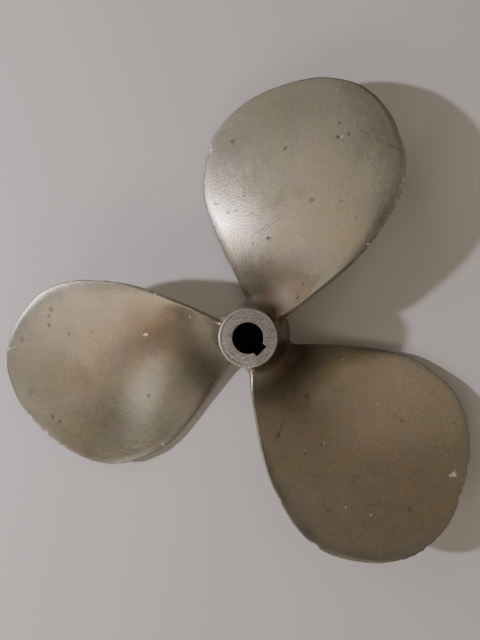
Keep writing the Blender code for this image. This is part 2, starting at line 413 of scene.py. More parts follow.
# Boss side between the roots: the cast skin of the cone. It is laid out flat, sheared along
# the pitch so that each root stands upright on it, and filled with even triangles.
SKIN_STEP = 0.0016
CROWDED = 0.6
LAYOUT_TOLERANCE = 1e-7


def sheared(spot, height):
    return spot + math.tau * height / PITCH


def in_loop(x, y, loop):
    # Whether a flat place lies inside a closed line.
    inside = False
    for (ax, ay), (bx, by) in zip(loop, loop[1:] + loop[:1]):
        if (ay > y) != (by > y) and x < (bx - ax) * (y - ay) / (by - ay) + ax:
            inside = not inside
    return inside


def fill_between(flat, edges, owner, holes):
    # Triangles over the flat layout, left out where they lie in a hole.
    laid, _, triangles, origins, _, _ = delaunay_2d_cdt(
        [Vector(spot) for spot in flat], edges, [], 0, LAYOUT_TOLERANCE
    )
    for triangle in triangles:
        x = sum(laid[at][0] for at in triangle) / 3
        y = sum(laid[at][1] for at in triangle) / 3
        corners = tuple(owner[origins[at][0]] for at in triangle)
        if len(set(corners)) == 3 and not any(in_loop(x, y, hole) for hole in holes):
            faces.append(corners)


class Layout:
    """Flat places of points of the boss, with the lines that the triangles keep."""

    def __init__(self):
        self.flat = []
        self.owner = []
        self.edges = []

    def line(self, places, numbers, closed=False):
        first = len(self.flat)
        self.flat.extend(places)
        self.owner.extend(numbers)
        count = len(numbers)
        self.edges.extend((first + at, first + at + 1) for at in range(count - 1))
        if closed:
            self.edges.append((first + count - 1, first))


# The cone is cut open along a seam between two roots. The points of the seam serve both sides.
across = boss_radius(BOSS_LENGTH / 2)
layout = Layout()
root_outlines = [sheared(spot, height) for ring, spot, height in root_loops]
seam = min((lay.min() + lay.max()) / 2 for lay in root_outlines) - math.pi / 3
roots = []
for (ring, spot, height), lay in zip(root_loops, root_outlines):
    lay = lay + math.tau * math.ceil((seam - lay.min()) / math.tau)
    loop = [(x * across, y) for x, y in zip(lay.tolist(), height.tolist())]
    layout.line(loop, ring, closed=True)
    roots.append(loop)

lowest, highest = BOSS_CHAMFER, BOSS_LENGTH - BOSS_CHAMFER
around = [seam + math.tau * at / BOSS_SIDES for at in range(BOSS_SIDES + 1)]
rim_spots = {}
rim_rings = {}
for height in (lowest, highest):
    rim_spots[height] = [x - math.tau * height / PITCH for x in around[:-1]]
    rim_rings[height] = boss_ring(height, boss_radius(height), rim_spots[height])
    places = [(x * across, height) for x in around]
    layout.line(places, rim_rings[height] + rim_rings[height][:1])

rows = round((highest - lowest) / SKIN_STEP)
columns = round(math.tau * across / SKIN_STEP)
row_heights = [lowest + (highest - lowest) * row / rows for row in range(1, rows)]
seam_points = []
for height in row_heights:
    seam_points += boss_ring(height, boss_radius(height), [seam - math.tau * height / PITCH])
for side in (0.0, math.tau):
    places = [((seam + side) * across, height) for height in row_heights]
    layout.line(places, seam_points)

crowd = np.concatenate([np.array(loop) for loop in roots])
for row, height in enumerate(row_heights):
    for column in range(1, columns):
        lay = seam + math.tau * (column + 0.5 * (row % 2)) / columns
        x = lay * across
        nearest = np.hypot(crowd[:, 0] - x, crowd[:, 1] - height).min()
        crowded = nearest < SKIN_STEP * CROWDED
        past_seam = lay > seam + math.tau * (1 - CROWDED / columns)
        if crowded or past_seam or any(in_loop(x, height, loop) for loop in roots):
            continue
        spot = lay - math.tau * height / PITCH
        layout.flat.append((x, height))
        layout.owner += boss_ring(height, boss_radius(height), [spot])
fill_between(layout.flat, layout.edges, layout.owner, roots)


# Bore: reamed to a taper with its small end aft, for the cone of the shaft, and cut with a
# keyway along its whole length. Both mouths are eased with a file.
BORE_AFT_RADIUS = 0.0113
BORE_TAPER = 1.0 / 12.0
BORE_CHAMFER = 0.0006
KEYWAY_WIDTH = 0.0092
KEYWAY_DEPTH = 0.0036
KEYWAY_TURN = -47.0
BORE_SIDES = 120
BORE_RINGS = 14
KEYWAY_STEPS = 6


def bore_radius(height):
    return BORE_AFT_RADIUS + (BOSS_LENGTH - height) * BORE_TAPER / 2


def bore_outline(height, ease):
    # The round bore and its slot at one height, opened out by ease.
    radius = bore_radius(height) + ease
    half = KEYWAY_WIDTH / 2 + ease
    floor = math.sqrt(bore_radius(height) ** 2 - (KEYWAY_WIDTH / 2) ** 2) + KEYWAY_DEPTH + ease
    mouth = math.asin(half / radius)
    wall = radius * math.cos(mouth)
    outline = []
    for side in range(BORE_SIDES + 1):
        spot = mouth + (math.tau - 2 * mouth) * side / BORE_SIDES
        outline.append((radius * math.cos(spot), radius * math.sin(spot)))
    outline += [(wall + (floor - wall) * step, -half) for step in (1 / 3, 2 / 3, 1)]
    for step in range(1, KEYWAY_STEPS):
        outline.append((floor, -half + 2 * half * step / KEYWAY_STEPS))
    outline += [(wall + (floor - wall) * step, half) for step in (1, 2 / 3, 1 / 3)]
    turned = Matrix.Rotation(math.radians(KEYWAY_TURN), 3, "Z")
    return [turned @ Vector((x, y, height)) for x, y in outline]


bore_heights = [0.0, BORE_CHAMFER]
for step in range(1, BORE_RINGS):
    bore_heights.append(BORE_CHAMFER + (BOSS_LENGTH - 2 * BORE_CHAMFER) * step / BORE_RINGS)
bore_heights += [BOSS_LENGTH - BORE_CHAMFER, BOSS_LENGTH]
bore_loops = []
for height in bore_heights:
    mouth = height in (0.0, BOSS_LENGTH)
    rows = bore_outline(height, BORE_CHAMFER if mouth else 0.0)
    bore_loops.append(add_points(rows, inside=0.0 if mouth else 1.0, turned=float(mouth)))
for lower, upper in zip(bore_loops, bore_loops[1:]):
    add_band(lower, upper)


# End faces: flat rings faced off on a lathe, so bare metal with fine turning marks. The rim
# of each is rolled over the chamfer, and a shallow groove runs round inside it.
CHAMFER_STEPS = 4
GROOVE_RADIUS = 0.0196
GROOVE_HALF_WIDTH = 0.0005
GROOVE_DEPTH = 0.00009


def end_face(rim_height, level, mouth):
    # From the rim of the boss over the chamfer and the groove to the mouth of the bore.
    foot = boss_radius(rim_height)
    edge = boss_radius(level) - BOSS_CHAMFER
    before = rim_rings[rim_height]
    spots = rim_spots[rim_height]
    for step in range(1, CHAMFER_STEPS + 1):
        bend = math.pi / 2 * step / CHAMFER_STEPS
        radius = edge + (foot - edge) * math.cos(bend)
        height = rim_height + (level - rim_height) * math.sin(bend)
        ring = boss_ring(height, radius, spots, turned=step / CHAMFER_STEPS)
        add_band(before, ring)
        before = ring
    inward = -1 if level > 0 else 1
    for offset, sink in ((GROOVE_HALF_WIDTH, 0), (0, GROOVE_DEPTH), (-GROOVE_HALF_WIDTH, 0)):
        height = level + inward * sink
        ring = boss_ring(height, GROOVE_RADIUS + offset, spots, turned=1.0)
        add_band(before, ring)
        before = ring
    face = Layout()
    hole = [points[at][:2] for at in mouth]
    face.line([points[at][:2] for at in before], before, closed=True)
    face.line(hole, mouth, closed=True)
    fill_between(face.flat, face.edges, face.owner, [hole])


end_face(lowest, 0.0, bore_loops[0])
end_face(highest, BOSS_LENGTH, bore_loops[-1])


# The one casting: boss, blades, bore and faces closed into a single skin. The broad faces
# keep the faint waves that grinding and polishing by hand left on them.
WAVE_DEPTH = 0.00022
WAVES_GROW = (0.034, 0.054)
WAVES_STOP = 0.006
BROAD_WAVES_PER_METRE = 21
FINE_WAVES_PER_METRE = 60
FINE_WAVE_SHARE = 0.3
SHARP_CORNER = 34.0

skin = bpy.data.meshes.new("propeller_bronze")
skin.from_pydata(points, [], faces)
work = bmesh.new()
work.from_mesh(skin)
bmesh.ops.recalc_face_normals(work, faces=work.faces)
work.normal_update()
work.verts.ensure_lookup_table()
for number, vert in enumerate(work.verts):
    starts, whole = WAVES_GROW
    reach = min(max((vert.co.xy.length - starts) / (whole - starts), 0.0), 1.0)
    reach *= min(notes["edge"][number] / WAVES_STOP, 1.0)
    if notes["blade"][number] >= 0 and reach > 0:
        broad = noise.noise(vert.co * BROAD_WAVES_PER_METRE + Vector((4.0, 1.0, 2.0)))
        fine = noise.noise(vert.co * FINE_WAVES_PER_METRE + Vector((9.0, 3.0, 7.0)))
        vert.co += vert.normal * reach * WAVE_DEPTH * (broad + FINE_WAVE_SHARE * fine)
for edge in work.edges:
    edge.smooth = edge.calc_face_angle(0.0) < math.radians(SHARP_CORNER)
for face in work.faces:
    face.smooth = True
work.to_mesh(skin)
work.free()
propeller = bpy.data.objects.new("propeller_bronze", skin)
bpy.context.scene.collection.objects.link(propeller)
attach(propeller, "root")
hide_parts("propeller_casting")


# Tarnish: years of air and oil turned the bronze brown, and greyer green where hands and water
# reached it. Not every cloud is tarnish: the dark ones in the roots and on the sides of the
# boss are partly dark tarnish and partly painted shade, a few dark ones dim the upper blade's
# glare, and many pale ones are partly lighter tarnish and partly painted light. Each cloud is
# a blade, an angle and a distance, its reach, how brown it is (grey-green below zero) and how
# dark (paler below zero).
TARNISH_AND_PAINTED_LIGHT_CLOUDS = (
    (0, -5.0, 0.195, 0.042, -0.70, 0.08),
    (0, -18.0, 0.188, 0.030, -0.30, 0.24),
    (0, -28.0, 0.115, 0.030, 0.00, -0.10),
    (0, -30.0, 0.185, 0.026, -0.60, 0.12),
    (0, -44.0, 0.150, 0.020, -0.50, 0.08),
    (0, 10.0, 0.105, 0.042, 0.60, 0.06),
    (0, -18.2, 0.1074, 0.0048, -0.10, 0.27),
    (0, -13.7, 0.1119, 0.0046, -0.10, 0.27),
    (0, -7.1, 0.1200, 0.0046, -0.20, 0.25),
    (0, -31.0, 0.064, 0.015, -0.20, 0.08),
    (0, -14.0, 0.060, 0.016, -0.10, 0.04),
    (0, -26.0, 0.044, 0.015, -0.35, 0.66),
    (0, -7.0, 0.036, 0.012, 0.00, 0.68),
    (0, 16.0, 0.029, 0.007, -0.40, 0.70),
    (0, 14.0, 0.045, 0.012, 0.90, -0.25),
    (0, -38.5, 0.083, 0.010, 1.20, 0.12),
    (0, 48.0, 0.028, 0.013, 0.40, 0.80),
    (0, 17.0, 0.180, 0.030, -0.55, -0.05),
    (0, 14.0, 0.156, 0.018, -0.55, -0.28),
    (0, 4.0, 0.188, 0.018, -0.55, -0.16),
    (0, 23.0, 0.048, 0.014, 0.90, -0.60),
    (2, 12.0, 0.135, 0.040, 0.60, -0.10),
    (2, 20.0, 0.078, 0.028, 1.15, -0.05),
    (2, -4.0, 0.100, 0.035, 0.45, -0.04),
    (2, 12.0, 0.171, 0.016, 0.00, -0.22),
    (2, 5.0, 0.115, 0.025, 0.00, 0.12),
    (2, 8.0, 0.055, 0.015, 0.45, -0.32),
    (2, 11.0, 0.088, 0.020, 0.60, 0.42),
    (2, -16.5, 0.091, 0.015, 0.10, 0.32),
    (2, -13.5, 0.123, 0.012, 0.00, -0.12),
    (2, -24.0, 0.070, 0.010, 0.10, -0.22),
    (2, 18.5, 0.150, 0.016, 0.00, -0.32),
    (2, -6.0, 0.196, 0.028, -0.70, 0.32),
    (2, -26.0, 0.146, 0.018, -1.20, 0.30),
    (2, -17.0, 0.182, 0.026, -0.40, 0.12),
    (2, -18.0, 0.160, 0.016, 0.10, -0.26),
    (2, -37.0, 0.150, 0.028, -0.40, -0.06),
    (2, -16.0, 0.103, 0.016, 0.00, -0.12),
    (2, -24.0, 0.040, 0.018, 0.00, 0.30),
    (2, 30.0, 0.035, 0.012, 0.30, -0.25),
    (1, 32.0, 0.021, 0.012, 0.00, -0.55),
    (1, -24.0, 0.036, 0.018, 0.45, 0.78),
    (1, 4.0, 0.041, 0.015, 0.25, 0.42),
    (1, -11.0, 0.060, 0.013, -0.10, -0.45),
    (1, 11.0, 0.053, 0.011, 0.10, -0.24),
    (1, -34.0, 0.070, 0.014, -0.20, -0.35),
    (1, -27.0, 0.062, 0.011, 0.00, -0.35),
    (1, -41.5, 0.079, 0.012, 0.00, -0.38),
    (1, -38.0, 0.120, 0.022, 0.10, -0.12),
    (1, -36.0, 0.049, 0.010, 0.30, 0.25),
    (1, -42.0, 0.027, 0.014, 0.50, 0.85),
    (1, -5.0, 0.084, 0.020, -0.55, 0.08),
    (1, 0.0, 0.092, 0.026, 0.20, 0.20),
    (1, 12.0, 0.105, 0.036, 0.45, -0.06),
    (1, -26.0, 0.130, 0.040, 0.10, 0.02),
    (1, 19.8, 0.1535, 0.007, -0.40, 0.26),
    (1, 22.0, 0.137, 0.016, 0.20, -0.14),
    (1, 10.0, 0.185, 0.040, 0.10, -0.02),
    (1, -12.0, 0.194, 0.038, 0.80, 0.08),
    (1, 14.0, 0.165, 0.026, 0.20, -0.10),
)

brown = np.zeros(len(points))
stain_and_shade = np.zeros(len(points))
plan_places = np.array(points)[:, :2]
owners = np.array(notes["blade"])
for blade, angle, distance, reach, tint, depth in TARNISH_AND_PAINTED_LIGHT_CLOUDS:
    spot = math.radians(BLADE_TURNS[blade] - angle)
    middle = np.array([math.cos(spot), math.sin(spot)]) * distance
    near = np.exp(-((plan_places - middle) ** 2).sum(axis=1) / reach**2)
    near *= (owners == blade) | (owners < 0)
    brown += near * tint
    stain_and_shade += near * depth
notes["brown"] = brown.tolist()
# The stain note holds dark tarnish and painted shade, and below zero pale tarnish and painted
# light.
notes["stain_and_shade"] = stain_and_shade.tolist()
for name in ("edge", "band", "bitten", "driving", "turned", "inside", "brown", "stain_and_shade"):
    layer = skin.attributes.new(name, "FLOAT", "POINT")
    layer.data.foreach_set("value", notes[name])


# Bronze finish: brown and grey-green tarnish over metal that was ground and rubbed smooth by
# hand, bare on the edges, on the rims and on the turned faces, and near black in the bore.
BROWN_TARNISH = (0.338, 0.272, 0.186, 1)
GREEN_TARNISH = (0.266, 0.262, 0.199, 1)
PURPLE_TARNISH = (0.305, 0.255, 0.215, 1)
GREY_BAND = (0.250, 0.240, 0.198, 1)
# The two stain colours also paint the shade in the roots and on the sides of the boss.
RED_STAIN_AND_SHADE = (0.116, 0.057, 0.021, 1)
OLIVE_STAIN_AND_SHADE = (0.078, 0.062, 0.030, 1)
BARE_METAL = (0.62, 0.56, 0.45, 1)
FRESH_METAL = (0.93, 0.89, 0.80, 1)
TURNED_METAL = (0.415, 0.380, 0.325, 1)
# Dark of the dirt in pits and scratches, also used for the painted shade along the rims.
PIT_DIRT_AND_RIM_SHADE = (0.060, 0.050, 0.042, 1)
BORE_BLACK = (0.020, 0.017, 0.014, 1)

bronze = bpy.data.materials.new("tarnished_bronze")
bronze.use_nodes = True
bench = bronze.node_tree
surface = bench.nodes["Principled BSDF"]
surface.inputs["Metallic"].default_value = 0.75
surface.inputs["Coat Weight"].default_value = 0.60
surface.inputs["Coat Roughness"].default_value = 0.13
skin.materials.append(bronze)


def tool(kind, **settings):
    made = bench.nodes.new("ShaderNode" + kind)
    for name, value in settings.items():
        setattr(made, name, value)
    return made


def feed(socket, value):
    if isinstance(value, bpy.types.NodeSocket):
        bench.links.new(value, socket)
    else:
        socket.default_value = value


def reckon(operation, *values):
    made = tool("Math", operation=operation)
    for socket, value in zip(made.inputs, values):
        feed(socket, value)
    return made.outputs[0]


def shift(operation, *values):
    made = tool("VectorMath", operation=operation)
    for socket, value in zip(made.inputs, values):
        feed(socket, value)
    return made.outputs["Value" if operation in ("LENGTH", "DISTANCE", "DOT_PRODUCT") else 0]


def soft_step(value, start, end, low=0.0, high=1.0):
    made = tool("MapRange", interpolation_type="SMOOTHSTEP")
    for socket, number in zip(made.inputs, (value, start, end, low, high)):
        feed(socket, number)
    return made.outputs[0]


def weighed(start, *parts):
    # A start value, with each part added by its own weight.
    total = start
    for part, weight in parts:
        total = reckon("MULTIPLY_ADD", part, weight, total)
    return total


def times(*parts):
    total = parts[0]
    for part in parts[1:]:
        total = reckon("MULTIPLY", total, part)
    return total


def most(*parts):
    total = parts[0]
    for part in parts[1:]:
        total = reckon("MAXIMUM", total, part)
    return total


def blend(share, first, second):
    made = tool("Mix", data_type="RGBA")
    feed(made.inputs["Factor"], share)
    feed(made.inputs["A"], first)
    feed(made.inputs["B"], second)
    return made.outputs["Result"]


def shaded(paint, amount):
    made = tool("Mix", data_type="RGBA", blend_type="MULTIPLY")
    made.inputs["Factor"].default_value = 1.0
    feed(made.inputs["A"], paint)
    feed(made.inputs["B"], amount)
    return made.outputs["Result"]


def cloudy(place, size, detail=3.0, rough=0.55):
    # Noise whose lumps are about as wide as size, in metres.
    made = tool("TexNoise")
    feed(made.inputs["Vector"], place)
    made.inputs["Scale"].default_value = 1.0 / size
    made.inputs["Detail"].default_value = detail
    made.inputs["Roughness"].default_value = rough
    return made


def note(name):
    return tool("Attribute", attribute_name=name).outputs["Fac"]


place = tool("TexCoord").outputs["Object"]
flat_place = shift("MULTIPLY", place, (1, 1, 0))
broad = cloudy(place, 0.070, 2.0).outputs["Fac"]
middling = cloudy(place, 0.022, 4.0, 0.6).outputs["Fac"]
small = cloudy(place, 0.0060, 3.0, 0.6).outputs["Fac"]
fine = cloudy(place, 0.0026, 2.0, 0.7).outputs["Fac"]
grain = cloudy(place, 0.0014, 1.0, 0.6).outputs["Fac"]
edge = note("edge")
bitten = note("bitten")
browned = note("brown")
darkened = note("stain_and_shade")
turned = soft_step(note("turned"), 0.35, 0.9)
inside = soft_step(note("inside"), 0.2, 0.8)
as_cast = reckon("SUBTRACT", 1.0, most(turned, inside))

# Knocks and scratches lie on the driving faces and just round their edges.
reached = most(note("driving"), soft_step(edge, 0.0012, 0.0030, 1.0, 0.0))

# Brown against grey-green with purple bruises, then the grey band along the edges with a
# ragged border.
warmth = weighed(-1.15, (broad, 0.9), (middling, 1.5), (small, 0.9), (browned, 0.55))
colour = blend(soft_step(warmth, -0.10, 1.10), GREEN_TARNISH, BROWN_TARNISH)
elsewhere = shift("ADD", place, (0.31, 0.17, 0.09))
bruise = cloudy(elsewhere, 0.026, 4.0, 0.65).outputs["Fac"]
colour = blend(soft_step(bruise, 0.44, 0.64, 0.0, 0.70), colour, PURPLE_TARNISH)
ragged = weighed(-0.62, (small, 0.35), (middling, 0.9), (note("band"), 1.0))
band = soft_step(ragged, 0.70, 1.15, 0.85, 0.0)
band = times(band, as_cast, soft_step(browned, 0.1, 0.7, 1.0, 0.3))
colour = blend(band, colour, GREY_BAND)

# Lighter and darker mottling at random, then the clouds: pale ones partly lighter tarnish and
# partly painted light, dark ones thick tarnish and, in the roots and on the boss sides,
# painted shade.
specks = soft_step(cloudy(place, 0.0021, 1.0).outputs["Fac"], 0.64, 0.74)
shade = weighed(0.41, (middling, 0.34), (small, 0.16), (fine, 0.32), (grain, 0.38))
shade = weighed(shade, (specks, -0.17))
pale_tarnish_and_painted_light = reckon("SUBTRACT", 1.0, reckon("MINIMUM", darkened, 0.0))
colour = shaded(shaded(colour, shade), pale_tarnish_and_painted_light)
stain_and_shade_share = reckon("MINIMUM", weighed(-0.15, (darkened, 1.0), (middling, 0.30)), 0.95)
stain_and_shade_share = most(stain_and_shade_share, 0.0)
deep = blend(soft_step(browned, -0.30, 0.20), OLIVE_STAIN_AND_SHADE, RED_STAIN_AND_SHADE)
colour = blend(times(stain_and_shade_share, as_cast), colour, deep)

# Pits, knocks and scratches on the driving faces: blade, angle, distance, half width and
# how plain it is to see.
DARK_PITS = (
    (0, -31.7, 0.1632, 0.0027, 0.85),
    (0, -15.6, 0.1528, 0.0022, 0.80),
    (0, -2.8, 0.1786, 0.0016, 1.00),
    (0, 0.5, 0.1726, 0.0018, 0.60),
    (0, -1.8, 0.1678, 0.0017, 0.80),
    (0, 3.0, 0.1778, 0.0012, 0.35),
    (0, -1.4, 0.1161, 0.0029, 0.60),
    (0, 8.4, 0.1243, 0.0020, 0.35),
    (0, 16.5, 0.1192, 0.0016, 0.55),
    (0, -29.6, 0.1170, 0.0020, 0.60),
    (0, -42.2, 0.1173, 0.0016, 0.70),
    (0, -37.9, 0.1063, 0.0017, 0.60),
    (0, -34.0, 0.1057, 0.0016, 0.60),
    (0, -26.2, 0.1015, 0.0016, 0.50),
    (0, -21.2, 0.0880, 0.0017, 0.50),
    (0, -16.8, 0.0799, 0.0027, 0.95),
    (0, -26.9, 0.0762, 0.0017, 0.50),
    (0, -39.4, 0.0749, 0.0012, 0.80),
    (0, 19.1, 0.0572, 0.0025, 0.60),
    (0, 24.9, 0.0468, 0.0018, 0.95),
    (2, 12.2, 0.1645, 0.0029, 0.65),
    (2, 10.2, 0.1664, 0.0023, 0.70),
    (2, 7.7, 0.1668, 0.0029, 0.80),
    (2, 3.8, 0.1922, 0.0031, 0.60),
    (2, 5.2, 0.1506, 0.0018, 0.85),
    (2, 6.4, 0.1308, 0.0014, 0.90),
    (2, -3.7, 0.1475, 0.0014, 0.70),
    (2, -4.1, 0.1571, 0.0012, 0.55),
    (2, -25.3, 0.1049, 0.0018, 0.70),
    (2, -20.6, 0.1138, 0.0013, 0.60),
    (2, -17.4, 0.1881, 0.0029, 0.55),
    (2, -19.4, 0.1840, 0.0026, 0.55),
    (2, -9.5, 0.1957, 0.0031, 0.35),
    (2, -26.3, 0.1512, 0.0018, 0.45),
    (2, -37.4, 0.1417, 0.0018, 0.60),
    (2, 21.1, 0.1531, 0.0021, 0.50),
    (1, -6.3, 0.0645, 0.0031, 0.45),
    (1, -4.0, 0.0843, 0.0023, 0.12),
    (1, 2.6, 0.0777, 0.0018, 0.25),
    (1, -24.4, 0.1362, 0.0026, 0.35),
    (1, -25.0, 0.1300, 0.0021, 0.20),
    (1, 11.6, 0.1449, 0.0026, 0.35),
    (1, 1.2, 0.1586, 0.0018, 0.45),
    (1, -6.6, 0.1819, 0.0031, 0.40),
    (1, -8.9, 0.1491, 0.0018, 0.35),
    (1, 2.5, 0.0999, 0.0017, 0.45),
    (1, 11.2, 0.0989, 0.0015, 0.40),
    (1, -30.3, 0.1740, 0.0015, 0.40),
    (1, 19.6, 0.0775, 0.0030, 0.30),
)
BRIGHT_SPOTS = (
    (0, 8.1, 0.1650, 0.0008, 0.70),
    (0, -1.1, 0.1690, 0.0010, 1.00),
    (0, -38.6, 0.1685, 0.0017, 1.00),
    (0, -38.8, 0.1655, 0.0018, 0.60),
    (0, -39.0, 0.1620, 0.0017, 0.50),
    (0, -47.6, 0.0985, 0.0013, 0.70),
    (0, 26.6, 0.1112, 0.0012, 1.00),
    (2, 5.8, 0.0854, 0.0018, 1.00),
    (2, 4.9, 0.0870, 0.0012, 0.80),
    (2, 29.1, 0.0805, 0.0012, 0.80),
    (2, -44.8, 0.1285, 0.0013, 1.00),
    (2, 23.2, 0.0487, 0.0011, 0.90),
    (2, -12.6, 0.1036, 0.0007, 0.35),
    (1, -38.3, 0.0759, 0.0009, 0.90),
    (1, -25.3, 0.0371, 0.0006, 0.90),
    (1, -25.3, 0.1137, 0.0009, 0.60),
    (1, -19.8, 0.1915, 0.0027, 1.00),
    (1, -19.1, 0.1898, 0.0015, 1.00),
    (1, 6.6, 0.1497, 0.0010, 1.00),
    (1, 1.8, 0.1658, 0.0010, 0.80),
    (1, 10.2, 0.0967, 0.0007, 0.80),
    (1, 1.7, 0.1003, 0.0008, 0.50),
    (1, -17.5, 0.1592, 0.0007, 0.45),
    (1, 9.7, 0.1268, 0.0007, 0.40),
    (1, -8.8, 0.1488, 0.0006, 0.60),
    (1, -30.1, 0.1735, 0.0007, 0.40),
)
# Scratches: blade, angle and distance of both ends, half width, how bright (dark below zero).
SCRATCHES = (
    (0, 3.0, 0.1773, 5.7, 0.1772, 0.00035, -0.8),
    (0, 6.6, 0.1761, 8.8, 0.1766, 0.00030, -0.6),
    (0, 10.8, 0.1773, 13.7, 0.1783, 0.00045, -0.9),
    (0, -24.1, 0.0830, -9.8, 0.1004, 0.00040, -0.8),
    (0, -23.0, 0.0858, -12.5, 0.1002, 0.00034, -0.65),
    (0, -29.7, 0.1797, -24.5, 0.1769, 0.00025, 0.20),
    (0, -14.2, 0.1545, -12.4, 0.1568, 0.00030, -0.5),
    (2, 13.2, 0.1640, 11.4, 0.1660, 0.00050, -0.7),
    (2, 1.4, 0.2073, 2.1, 0.1985, 0.00045, 0.55),
    (2, -18.1, 0.1341, -22.6, 0.1320, 0.00035, -0.6),
    (2, -24.1, 0.1440, -22.8, 0.1347, 0.00028, -0.8),
    (2, -24.7, 0.1432, -23.6, 0.1352, 0.00025, -0.6),
    (2, -25.4, 0.1424, -24.5, 0.1358, 0.00025, -0.6),
    (2, -23.4, 0.1446, -22.4, 0.1378, 0.00022, -0.5),
    (2, -17.6, 0.1240, -18.8, 0.1275, 0.00025, -0.4),
    (1, 13.8, 0.0687, 22.2, 0.0823, 0.00190, -0.22),
    (1, -23.3, 0.1290, -24.6, 0.1345, 0.00060, -0.35),
    (1, -20.9, 0.1905, -19.9, 0.1911, 0.00050, 0.5),
)
SCRATCH_CORE = 0.3
PINHOLES_PER_METRE = 105.0


def on_blade(blade, angle, distance):
    spot = math.radians(BLADE_TURNS[blade] - angle)
    return Vector((distance * math.cos(spot), distance * math.sin(spot), 0.0))


def spots(rows, found_at, edge_share):
    dots = []
    for blade, angle, distance, size, strength in rows:
        away = shift("DISTANCE", found_at, on_blade(blade, angle, distance))
        dots.append(soft_step(away, size * edge_share, size, strength, 0.0))
    return times(most(*dots), reached)


def scratch(blade, angle, distance, end_angle, end_distance, width, strength):
    start = on_blade(blade, angle, distance)
    run = on_blade(blade, end_angle, end_distance) - start
    from_start = shift("SUBTRACT", wavy_place, start)
    along = shift("DOT_PRODUCT", from_start, run / run.length_squared)
    clamped = reckon("MINIMUM", most(along, 0.0), 1.0)
    scaled = tool("VectorMath", operation="SCALE")
    scaled.inputs[0].default_value = run
    feed(scaled.inputs["Scale"], clamped)
    away = shift("DISTANCE", from_start, scaled.outputs[0])
    return soft_step(away, width * SCRATCH_CORE, width, abs(strength), 0.0)


def nudged(amount, noise_tool):
    # Places shifted a little by noise, so that a mark there has an uneven outline.
    drift = shift("SUBTRACT", noise_tool.outputs["Color"], (0.5, 0.5, 0.5))
    return shift("MULTIPLY_ADD", drift, (amount, amount, 0.0), flat_place)


ripple = cloudy(place, 0.0024, 2.0)
rough_place = nudged(0.0046, ripple)
crisp_place = nudged(0.0018, ripple)
wavy_place = nudged(0.0012, cloudy(place, 0.0090, 1.0))
pits = spots(DARK_PITS, rough_place, 0.35)
bright = spots(BRIGHT_SPOTS, crisp_place, 0.30)
broken = soft_step(small, 0.42, 0.50, 0.30, 1.0)
dark_lines = most(*[scratch(*row) for row in SCRATCHES if row[-1] < 0])
dark_lines = times(dark_lines, broken, reached)
bright_lines = most(*[scratch(*row) for row in SCRATCHES if row[-1] > 0])
bright_lines = times(bright_lines, reached)

# Small casting pits scattered over every cast surface.
cells = tool("TexVoronoi")
feed(cells.inputs["Vector"], nudged(0.0010, cloudy(place, 0.0022, 1.0)))
cells.inputs["Scale"].default_value = PINHOLES_PER_METRE
cell_parts = tool("SeparateColor")
feed(cell_parts.inputs[0], cells.outputs["Color"])
chosen = soft_step(cell_parts.outputs[0], 0.70, 0.72)
pit_size = weighed(0.038, (reckon("POWER", cell_parts.outputs[1], 3.0), 0.060))
pinholes = soft_step(reckon("DIVIDE", cells.outputs["Distance"], pit_size), 0.5, 1.0, 1.0, 0.0)
pinholes = times(pinholes, chosen, as_cast)
for marks, darkness in ((pits, 0.85), (pinholes, 0.55), (dark_lines, 0.90)):
    colour = blend(times(marks, darkness), colour, PIT_DIRT_AND_RIM_SHADE)

# Dirt and painted shade in the turn of the rims, a dark line that stands for the edges'
# thickness seen in shadow, and bare metal in their fresh bites and in the knocks.
rim_dirt_and_shade = times(soft_step(edge, 0.0004, 0.0016, 0.62, 0.0), as_cast)
rim_dirt_and_shade = times(rim_dirt_and_shade, soft_step(middling, 0.40, 0.56, 0.35, 1.0))
rim_dirt_and_shade = times(rim_dirt_and_shade, reckon("SUBTRACT", 1.0, bitten))
colour = blend(rim_dirt_and_shade, colour, PIT_DIRT_AND_RIM_SHADE)
worn = weighed(soft_step(middling, 0.52, 0.62, 0.05, 0.25), (bitten, 0.75))
rubbed = weighed(-0.0008, (edge, 1.0), (small, 0.0016))
rubbed = times(soft_step(rubbed, 0.0001, 0.0012, 1.0, 0.0), worn)
colour = blend(times(rubbed, as_cast), colour, BARE_METAL)
knocked = most(bright, bright_lines)
colour = blend(knocked, colour, FRESH_METAL)
fresh = most(rubbed, knocked)

# Turned faces: fine rings from the lathe, later crossed by a file, with dirt in the lines.
RING_SPACING = 0.00042
FILE_SPACING = 0.00070
FILE_TURN = -38.0
FILE_STRETCH = 0.09
out_from_axis = shift("LENGTH", flat_place)
ring_place = tool("CombineXYZ")
feed(ring_place.inputs[0], out_from_axis)
rings_cut = cloudy(ring_place.outputs[0], RING_SPACING, 2.0, 0.7).outputs["Fac"]
file_turn = tool("Mapping", vector_type="POINT")
feed(file_turn.inputs["Vector"], place)
file_turn.inputs["Rotation"].default_value = (0.0, 0.0, math.radians(FILE_TURN))
file_turn.inputs["Scale"].default_value = (FILE_STRETCH, 1.0, 1.0)
filed = cloudy(file_turn.outputs[0], FILE_SPACING, 3.0, 0.7).outputs["Fac"]
pecks = cloudy(place, 0.0013, 1.0, 0.6).outputs["Fac"]
lines = weighed(0.0, (filed, 0.5), (rings_cut, 0.5))
from_groove = reckon("ABSOLUTE", reckon("SUBTRACT", out_from_axis, GROOVE_RADIUS))
groove = soft_step(from_groove, 0.0003, 0.0009, 1.0, 0.0)
face_shade = weighed(-0.90, (middling, 0.55), (lines, 1.7), (pecks, 1.6), (groove, -0.16))
# The pale clouds lighten the turned faces too, partly as painted light.
face_shade = times(most(face_shade, 0.20), pale_tarnish_and_painted_light)
colour = blend(turned, colour, shaded(TURNED_METAL, face_shade))
